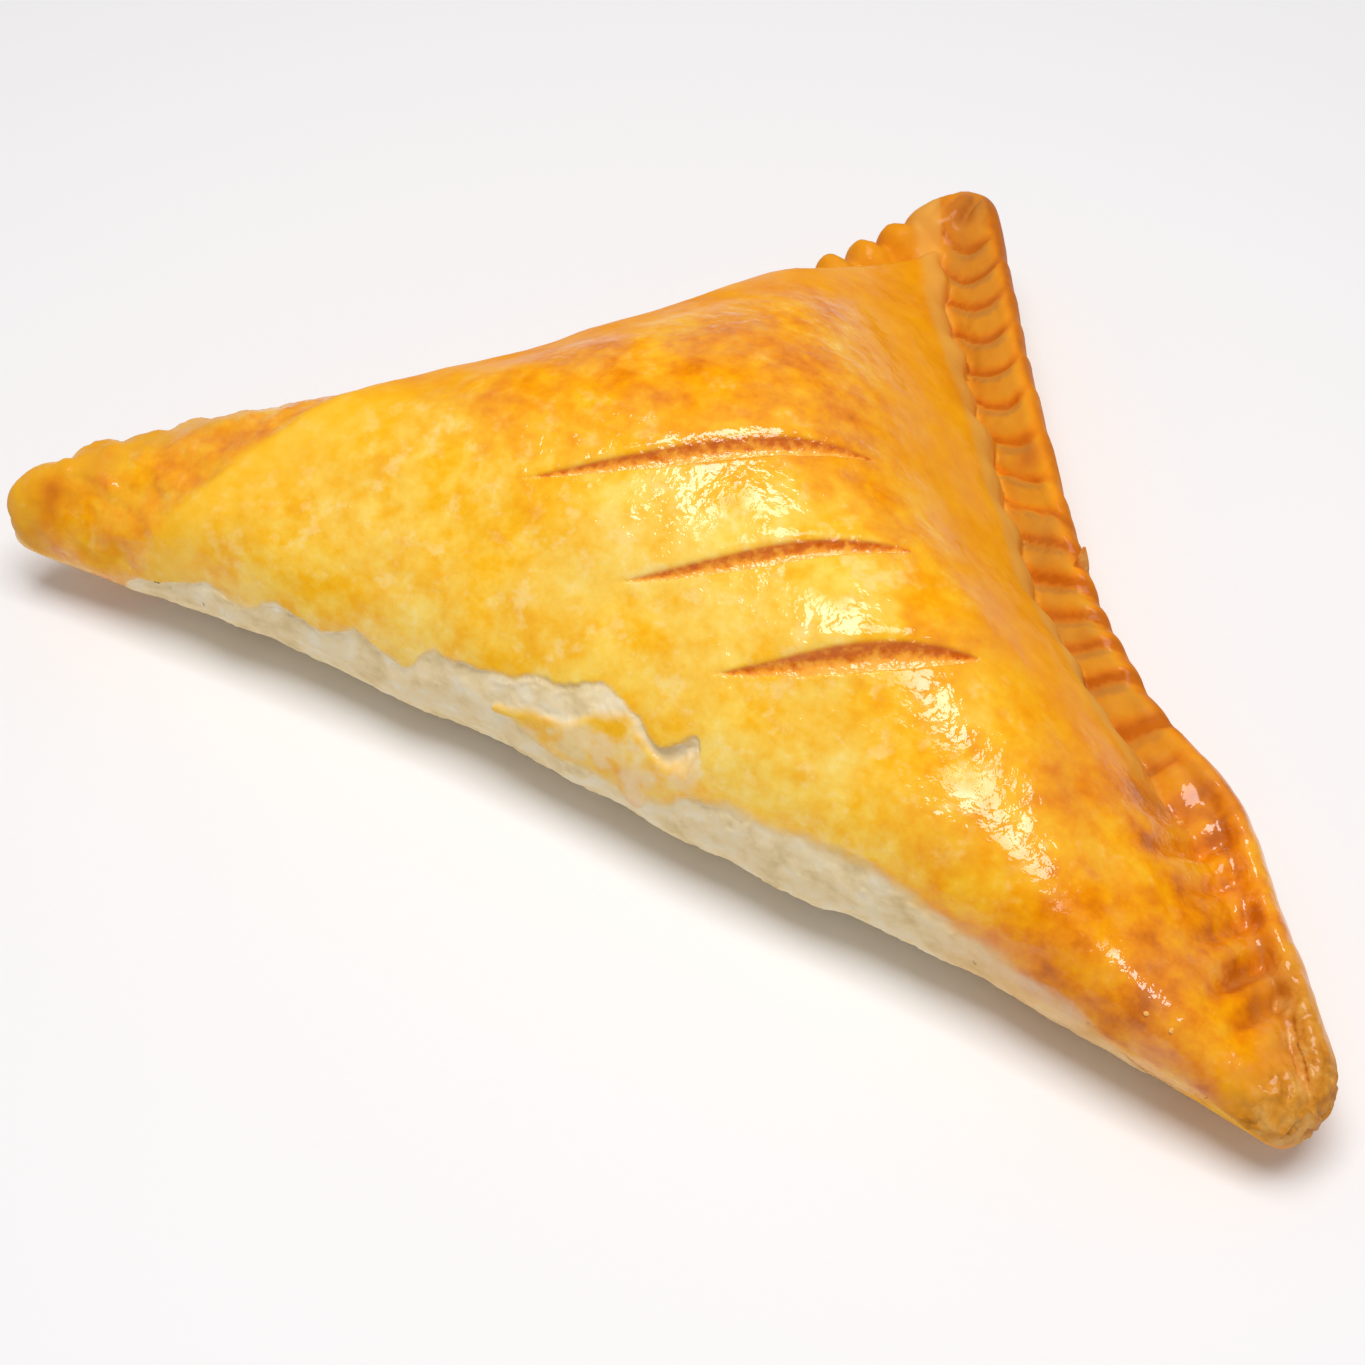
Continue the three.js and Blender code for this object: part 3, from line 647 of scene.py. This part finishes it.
# Divides the outline of the flat dough finely enough to follow its scallops
def refine_outline(bm):
    for _ in range(OUTLINE_ROUNDS):
        on_outline = [e for e in bm.edges if e.verts[0].co.z == 0 and e.verts[1].co.z == 0]
        split_edges(bm, [e for e in on_outline if e.calc_length() > OUTLINE_MESH])
        place_vertices(bm, settle(vertex_places(bm)))


# Splits the edges of the flat dough that come out too long in the form, until each zone is fine enough
def refine(bm):
    for _ in range(REFINING_ROUNDS):
        flat = settle(vertex_places(bm))
        places, at = press_dough(flat)
        turn_thin_triangles(bm, places, STEEP)
        place_vertices(bm, flat)
        bm.verts.index_update()
        bm.edges.ensure_lookup_table()
        allowed = mesh_size(places, at)
        ends = np.array([(e.verts[0].index, e.verts[1].index) for e in bm.edges])
        lengths = np.linalg.norm(places[ends[:, 0]] - places[ends[:, 1]], axis=1)
        limit = np.minimum(allowed[ends[:, 0]], allowed[ends[:, 1]])
        too_long = np.nonzero(lengths > limit)[0]
        if len(too_long) == 0:
            break
        split_edges(bm, [bm.edges[i] for i in too_long])


# Overlapping leaves: each rises slowly and drops at its edge
def terraces(levels):
    part = levels - np.floor(levels)
    return part * (1 - ramp(0.7, 1.0, part))


# Fine unevenness, as a height along the surface's own direction, in millimetres
def surface_relief(places, at):
    x, y, z = places.T
    upper = at.upper.astype(float)
    on_border = upper * (1 - ramp(-1, 2.5, np.minimum(at.right - at.right_border, at.left - BORDER_WIDTH)))
    at.on_border = on_border
    blisters = 0.16 * unevenness(x, y, z, (6.0, 6.0, 6.0), 3)
    wrinkled = on_border * (1 - ramp(12, 45, at.from_right_tip))
    wrinkles = 0.22 * unevenness(x + y, y - x, z, (9.0, 3.2, 5.0), 3)
    lumps = 0.26 * unevenness(x, y, z, (3.6, 3.6, 3.6), 3)
    leaves = terraces(1.8 * unevenness(x - 0.8 * z, z, y, (6.5, 4.0, 14.0), 3))
    layers = LAYER_STEP * leaves + 0.14 * unevenness(x, z, y, (3.2, 2.0, 10.0), 3)
    layers = layers + 0.6 * unevenness(x, z, y, (11.0, 9.0, 13.0), 2)
    along = x * RIGHT_LEG.along[0] + y * RIGHT_LEG.along[1]
    flakes = terraces(2.0 * unevenness(along, at.right_rim, z, (10.0, 3.6, 5.0), 2))
    at.papery = papery_share(at) * upper
    ear = at.left_ear * upper * 0.5 * unevenness(x, y, z, (4.2, 3.4, 3.4), 3)
    relief = (blisters + ear) * (1 - at.bare) + lumps * on_border * (1 - wrinkled) + wrinkles * wrinkled
    by_rim = 1 - ramp(0.4, 3.0, at.outline)
    return relief * (1 - by_rim * (1 - at.facing)) + layers * at.bare + 0.7 * flakes * at.papery


def store(mesh, name, values):
    layer = mesh.attributes.new(name, "FLOAT", "POINT")
    layer.data.foreach_set("value", np.asarray(values, dtype=np.float32))


def move_to(mesh, places):
    mesh.vertices.foreach_set("co", ((places - FORM_MIDDLE) * MM).astype(np.float32).ravel())
    mesh.update()


def surface_directions(mesh):
    directions = np.empty(3 * len(mesh.vertices), dtype=np.float32)
    mesh.vertex_normals.foreach_get("vector", directions)
    return directions.reshape(-1, 3)


# The pocketed part of the right border outside the crescents, which is made a little paler
def pocketed_share(at):
    return at.on_border * (1 - at.right_tip) * (1 - at.crescent)


# How deeply each place has browned, from 0, pale yellow, to 1, dark brown, with painted shade added on top
# as more brown in the fork's crescents and, in part, in the right tip's wrinkle grooves
def browning_and_shade(places, at):
    x, y, _ = places.T
    baked_and_shaded = 0.27 + 0.36 * ramp(18, 50, y) + 0.04 * ramp(60, 95, y)
    baked_and_shaded = baked_and_shaded + 0.18 * ramp(15, 50, x) + 0.22 * ramp(42, 62, x)
    baked_and_shaded = baked_and_shaded + 0.06 * ramp(22, 38, y) * (1 - ramp(-30, -5, x))
    baked_and_shaded = baked_and_shaded - 0.10 * hump(np.hypot(x - 6, y - 22), 0, 16) + 0.14 * ramp(85, 100, y) * at.on_border
    # The right tip's wrinkle grooves are darker: partly a deeper brown from the oven, partly painted shade
    # in the grooves
    baked_and_shaded = baked_and_shaded + 0.14 * at.right_tip * np.clip(at.groove, 0, 1.5) + 0.10 * at.seam
    baked_and_shaded = baked_and_shaded + 0.20 * at.left_ear * at.upper + 0.05 * (1 - ramp(1, 9, at.from_left_tip))
    most = 0.53 + 0.1 * at.on_border * ramp(85, 100, y)
    # A higher cap in those grooves, darker partly as painted shade, and along the seam
    most = most + at.right_tip * (0.03 + 0.16 * np.clip(at.groove + at.seam, 0, 1))
    baked_and_shaded = np.minimum(baked_and_shaded, most)
    outer_rim = at.on_border * (1 - ramp(1.6, 3.2, at.right_rim)) * (1 - at.right_tip)
    # Painted shade: the crescents below each fork imprint are darkened as if more brown, partly real
    # browning; the outer rim band is darker from browning
    baked_and_shaded = baked_and_shaded + 0.34 * at.crescent + 0.24 * outer_rim - 0.06 * pocketed_share(at)
    for spot_x, spot_y, size, more in BROWN_SPOTS:
        baked_and_shaded = baked_and_shaded + more * hump(np.hypot(x - spot_x, y - spot_y), 0, size)
    baked_and_shaded = np.where(at.upper, baked_and_shaded, 0.45)
    return np.clip(baked_and_shaded, 0, DARKEST_CRUST)


# Where the crust is paler and matt: the rolled lip of the dome above the border, and the left end
def matt_share(places, at):
    x, y, z = places.T
    wander = 0.9 * unevenness(x, y, z, (8.0, 8.0, 8.0), 2)
    lip = ramp(-0.3, 0.5, at.past_foot) * (1 - ramp(2.6, 4.2, at.past_foot + wander)) * (1 - at.right_tip)
    end = 1 - ramp(1.6, 3.8, at.from_left_tip)
    return np.clip(np.maximum(lip, end), 0, 1) * at.upper


# How tan the border is: most on the ridges between the fork's imprints, least in the crescents below them,
# whose crust is darkened as painted shade
def tan_share(places, at):
    patches = ramp(-0.2, 0.5, unevenness(*places.T, (7.0, 7.0, 7.0), 2))
    inner = 0.25 + 0.75 * ramp(2.0, 3.6, at.right_rim)
    share = np.maximum(0.55 + 0.3 * patches - 0.5 * at.crescent, at.ridge) * inner
    by_leg = mix(0.4, 1, ramp(-2, 5, at.left - at.right))
    return np.clip(share, 0, 1) * at.on_border * (1 - at.right_tip) * by_leg


# Where the wash has dried dull: bare dough, papery crust, the slopes above both legs and the border
def dull_share(at):
    right_slope = 0.85 * (1 - ramp(8, 24, at.past_foot)) * (1 - at.right_tip)
    left_slope = 0.8 * at.upper * (1 - ramp(16, 30, at.left)) * (1 - at.left_ear)
    slopes = np.maximum(right_slope, left_slope)
    border = 0.6 * at.on_border * (1 - at.right_tip)
    return np.maximum(np.maximum(at.bare, 0.7 * at.papery), np.maximum(slopes, border))


def new_piece(name, bm):
    mesh = bpy.data.meshes.new(name)
    bm.to_mesh(mesh)
    bm.free()
    piece = bpy.data.objects.new(name, mesh)
    bpy.context.collection.objects.link(piece)
    return piece


def make_pastry():
    bm = bmesh.new()
    bmesh.ops.create_icosphere(bm, subdivisions=6, radius=1.0)
    place_vertices(bm, flatten(vertex_places(bm)))
    refine_outline(bm)
    relax(bm)
    refine(bm)
    places, at = press_dough(settle(vertex_places(bm)))
    turn_thin_triangles(bm, places, 0.0)
    piece = new_piece("pastry_crust", bm)
    mesh = piece.data
    mesh.shade_smooth()
    move_to(mesh, places)
    places = places + surface_directions(mesh) * surface_relief(places, at)[:, None]
    places[:, 2] = np.maximum(places[:, 2], 0)
    move_to(mesh, places)
    store(mesh, "bare", np.maximum(at.bare, 0.55 * at.flap))
    store(mesh, "slit", ramp(0.05, 0.5, at.slit))
    store(mesh, "slit_across", at.slit_across)
    store(mesh, "papery", at.papery)
    matt = matt_share(places, at)
    store(mesh, "matt", matt)
    store(mesh, "tan", tan_share(places, at))
    store(mesh, "dull", np.maximum(matt, dull_share(at)))
    store(mesh, "baked_and_shaded", browning_and_shade(places, at))
    return piece


# Place in the frame of a point on the upper side, given in plan
def on_top(x, y, sunk):
    top = heights_at(np.array((x,)), np.array((y,))).top[0]
    return Vector(np.array((x, y, top - sunk)) - FORM_MIDDLE) * MM


def make_crumbs():
    bm = bmesh.new()
    dice = random.Random(CRUMB_SEED)
    for x, y, size in CRUMBS:
        turn = Euler([dice.uniform(0, math.tau) for _ in range(3)]).to_matrix().to_4x4()
        squash = Matrix.Diagonal((1.3, 1.0, 0.7, 1.0))
        place = Matrix.Translation(on_top(x, y, 0.3 * size)) @ turn @ squash
        made = bmesh.ops.create_icosphere(bm, subdivisions=2, radius=size * MM, matrix=place)
        for vertex in made["verts"]:
            vertex.co += Vector([dice.uniform(-0.16, 0.16) * size * MM for _ in range(3)])
    return new_piece("crumbs", bm)


# A thin pointed leaf of pastry that has lifted off the rim
def make_loose_flake():
    bm = bmesh.new()
    leaf = bmesh.ops.create_grid(bm, x_segments=4, y_segments=6, size=0.5)["verts"]
    across = LOOSE_FLAKE["width"] * MM
    up = LOOSE_FLAKE["height"] * MM
    for vertex in leaf:
        height = vertex.co.y + 0.5
        side = vertex.co.x * (1 - 0.85 * height**1.5)
        vertex.co = Vector((side * across, (0.3 * height**2 + side * side) * across, (height - 0.25) * up))
    bmesh.ops.solidify(bm, geom=bm.faces[:], thickness=LOOSE_FLAKE["thickness"] * MM)
    bmesh.ops.recalc_face_normals(bm, faces=bm.faces[:])
    turn = Matrix.Rotation(CAMERA_AZIMUTH, 4, "Z")
    place = Matrix.Translation(on_top(*LOOSE_FLAKE["at"], 0.0)) @ turn
    bmesh.ops.transform(bm, matrix=place, verts=bm.verts[:])
    return new_piece("loose_flake", bm)


def srgb(red, green, blue):
    def linear(value):
        value = value / 255
        return value / 12.92 if value <= 0.04045 else ((value + 0.055) / 1.055) ** 2.4
    return (linear(red), linear(green), linear(blue), 1.0)


# Node helpers: a node of a kind with its settings, and a link between two sockets
class Nodes:
    def __init__(self, tree):
        self.tree = tree

    def add(self, kind, settings=None, **inputs):
        node = self.tree.nodes.new("ShaderNode" + kind)
        for name, value in (settings or {}).items():
            setattr(node, name, value)
        for name, value in inputs.items():
            by_number = name[0] == "i" and name[1:].isdigit()
            self.feed(node.inputs[int(name[1:]) if by_number else name], value)
        return node

    def feed(self, socket, value):
        if isinstance(value, bpy.types.NodeSocket):
            self.tree.links.new(value, socket)
        else:
            socket.default_value = value

    def attribute(self, name):
        return self.add("Attribute", {"attribute_name": name}).outputs["Fac"]

    def math(self, operation, a, b=0.0, clamp=False):
        return self.add("Math", {"operation": operation, "use_clamp": clamp}, i0=a, i1=b).outputs[0]

    def noise(self, where, scale, detail=2.0, roughness=0.5):
        node = self.add("TexNoise", Vector=where, Scale=scale, Detail=detail, Roughness=roughness)
        return node.outputs["Fac"]

    def ramp(self, factor, stops):
        node = self.add("ValToRGB", Fac=factor)
        elements = node.color_ramp.elements
        while len(elements) < len(stops):
            elements.new(0.5)
        for element, (place, colour) in zip(elements, stops):
            element.position = place
            element.color = colour
        return node.outputs["Color"]

    def spread(self, value, low, high, to_low=0.0, to_high=1.0):
        node = self.add("MapRange", i0=value, i1=low, i2=high, i3=to_low, i4=to_high)
        return node.outputs[0]

    def blend(self, factor, a, b, kind="MIX"):
        node = self.add("Mix", {"data_type": "RGBA", "blend_type": kind})
        self.feed(node.inputs[0], factor)
        self.feed(node.inputs[6], a)
        self.feed(node.inputs[7], b)
        return node.outputs[2]


# Washed crust colours from pale yellow to dark brown; the dark end also paints shade into the fork's
# crescents and the right tip's wrinkle grooves
CRUST_COLOURS = (
    (0.00, srgb(254, 224, 122)),
    (0.18, srgb(253, 207, 80)),
    (0.34, srgb(251, 186, 30)),
    (0.50, srgb(246, 162, 2)),
    (0.64, srgb(234, 136, 0)),
    (0.78, srgb(204, 106, 4)),
    (0.90, srgb(146, 70, 12)),
    (1.00, srgb(92, 42, 10)),
)
DOUGH_COLOURS = (
    (0.25, srgb(224, 196, 142)),
    (0.50, srgb(246, 224, 178)),
    (0.75, srgb(249, 240, 216)),
)
# Colours across a slit's inside, from the near lip at 0 to the far lip at 1: a pale floor, then a darker
# far wall, partly a deeper brown and partly painted shade under the far lip
SLIT_COLOURS = (
    (0.00, srgb(240, 160, 40)),
    (0.15, srgb(255, 196, 84)),
    (0.56, srgb(250, 174, 50)),
    (0.76, srgb(216, 112, 10)),
    (1.00, srgb(190, 88, 6)),
)
PAPER_COLOURS = (
    (0.30, srgb(172, 98, 24)),
    (0.50, srgb(212, 144, 52)),
    (0.70, srgb(232, 186, 104)),
)
FLAKE_COLOURS = (
    (0.30, srgb(222, 140, 48)),
    (0.70, srgb(250, 200, 110)),
)
CREAM = srgb(255, 232, 168)
TAN = srgb(184, 126, 56)
PEACH = srgb(232, 168, 76)


def washed_crust():
    material = bpy.data.materials.new("washed_crust")
    material.use_nodes = True
    nodes = Nodes(material.node_tree)
    shader = material.node_tree.nodes["Principled BSDF"]
    where = nodes.add("TexCoord").outputs["Object"]
    bare = nodes.attribute("bare")
    slit = nodes.attribute("slit")
    # How brown the crust is, with painted shade in the fork's crescents and in the right tip's wrinkle
    # grooves
    baked_and_shaded = nodes.attribute("baked_and_shaded")

    dull = nodes.attribute("dull")
    calm = nodes.spread(dull, 0.0, 0.75, 1.0, 0.35)
    for scale, detail, reach in ((60.0, 2.0, 0.10), (150.0, 3.0, 0.12), (420.0, 3.0, 0.10)):
        patches = nodes.spread(nodes.noise(where, scale, detail, 0.6), 0.3, 0.7, -reach, reach)
        baked_and_shaded = nodes.math("ADD", baked_and_shaded, nodes.math("MULTIPLY", patches, calm))
    crust = nodes.ramp(nodes.math("MINIMUM", baked_and_shaded, DARKEST_CRUST), CRUST_COLOURS)
    flecks = nodes.spread(nodes.noise(where, 330.0, 5.0, 0.65), 0.54, 0.64, 0.0, 0.3)
    flecks = nodes.math("MULTIPLY", flecks, nodes.spread(baked_and_shaded, 0.28, 0.52, 1.0, 0.15))
    flecks = nodes.math("MULTIPLY", flecks, calm)
    crust = nodes.blend(flecks, crust, CREAM)
    paper = nodes.ramp(nodes.noise(where, 420.0, 4.0, 0.6), PAPER_COLOURS)
    papery = nodes.attribute("papery")
    crust = nodes.blend(nodes.math("MULTIPLY", papery, 0.8), crust, paper)
    crust = nodes.blend(nodes.math("MULTIPLY", nodes.attribute("tan"), 0.85), crust, TAN)
    matt = nodes.attribute("matt")
    crust = nodes.blend(nodes.math("MULTIPLY", matt, 0.75), crust, PEACH)

    dough = nodes.ramp(nodes.noise(where, 260.0, 5.0, 0.6), DOUGH_COLOURS)
    colour = nodes.blend(bare, crust, dough)
    uneven = nodes.spread(nodes.noise(where, 900.0, 4.0), 0.3, 0.7, -0.16, 0.16)
    # A slit's inside, darker towards the far wall, where part of the dark is painted shade
    inside = nodes.ramp(nodes.math("ADD", nodes.attribute("slit_across"), uneven), SLIT_COLOURS)
    colour = nodes.blend(slit, colour, inside)
    nodes.feed(shader.inputs["Base Color"], colour)

    nodes.feed(shader.inputs["Roughness"], nodes.spread(dull, 0.0, 1.0, 0.34, 0.7))
    shader.inputs["Specular IOR Level"].default_value = 0.06
    glaze = nodes.spread(nodes.noise(where, 110.0, 3.0), 0.36, 0.56)
    glaze = nodes.math("MULTIPLY", glaze, nodes.math("SUBTRACT", 1.0, dull, clamp=True))
    nodes.feed(shader.inputs["Coat Weight"], nodes.math("MAXIMUM", glaze, slit))
    shader.inputs["Coat Roughness"].default_value = 0.08
    shader.inputs["Coat IOR"].default_value = 1.6

    film = nodes.math("MULTIPLY", nodes.noise(where, 950.0, 2.0, 0.5), 0.6)
    film = nodes.math("ADD", film, nodes.math("MULTIPLY", nodes.noise(where, 300.0, 2.0), 1.4))
    bubbles = nodes.math("MULTIPLY", nodes.noise(where, 1300.0, 2.0), nodes.math("MULTIPLY", slit, 1.2))
    film = nodes.math("ADD", nodes.math("MULTIPLY", film, calm), bubbles)
    for socket, strength in (("Normal", 0.25), ("Coat Normal", 0.65)):
        bump = nodes.add("Bump", Strength=strength, Distance=0.0004, Height=film)
        nodes.feed(shader.inputs[socket], bump.outputs["Normal"])
    return material


# Dry flaked crust of the crumbs and the loose flake
def dry_crust():
    material = bpy.data.materials.new("dry_crust")
    material.use_nodes = True
    nodes = Nodes(material.node_tree)
    shader = material.node_tree.nodes["Principled BSDF"]
    where = nodes.add("TexCoord").outputs["Object"]
    nodes.feed(shader.inputs["Base Color"], nodes.ramp(nodes.noise(where, 700.0, 3.0, 0.6), FLAKE_COLOURS))
    shader.inputs["Roughness"].default_value = 0.55
    shader.inputs["Specular IOR Level"].default_value = 0.2
    return material


def make_floor():
    bm = bmesh.new()
    bmesh.ops.create_grid(bm, x_segments=1, y_segments=1, size=3.0)
    floor = new_piece("floor", bm)
    material = bpy.data.materials.new("pale_floor")
    material.use_nodes = True
    shader = material.node_tree.nodes["Principled BSDF"]
    shader.inputs["Base Color"].default_value = (0.9, 0.89, 0.895, 1.0)
    shader.inputs["Roughness"].default_value = 0.7
    floor.data.materials.append(material)


def make_lights():
    world = bpy.data.worlds.new("soft_room")
    world.use_nodes = True
    background = world.node_tree.nodes["Background"]
    background.inputs["Color"].default_value = (1.0, 0.99, 0.99, 1.0)
    background.inputs["Strength"].default_value = 0.35
    bpy.context.scene.world = world
    softbox = bpy.data.lights.new("overhead_softbox", "AREA")
    softbox.shape = "RECTANGLE"
    softbox.size = 0.40
    softbox.size_y = 0.28
    softbox.energy = 2.85
    lamp = bpy.data.objects.new("overhead_softbox", softbox)
    lamp.location = (0.02, -0.05, 0.6)
    bpy.context.collection.objects.link(lamp)


def make_camera():
    back = Vector((
        math.sin(CAMERA_AZIMUTH) * math.cos(CAMERA_ELEVATION),
        -math.cos(CAMERA_AZIMUTH) * math.cos(CAMERA_ELEVATION),
        math.sin(CAMERA_ELEVATION),
    ))
    data = bpy.data.cameras.new("photo_view")
    data.sensor_fit = "HORIZONTAL"
    data.angle = CAMERA_ANGLE
    camera = bpy.data.objects.new("photo_view", data)
    camera.location = CAMERA_TARGET + back * CAMERA_DISTANCE
    camera.rotation_euler = back.to_track_quat("Z", "Y").to_euler()
    bpy.context.collection.objects.link(camera)
    bpy.context.scene.camera = camera


make_camera()
make_lights()
make_floor()
bpy.context.scene.view_settings.view_transform = "Standard"

pastry = make_pastry()
pastry.data.materials.append(washed_crust())
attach(pastry, "root")
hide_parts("pastry")
dry = dry_crust()
for loose in (make_crumbs(), make_loose_flake()):
    loose.data.materials.append(dry)
    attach(loose, "root")
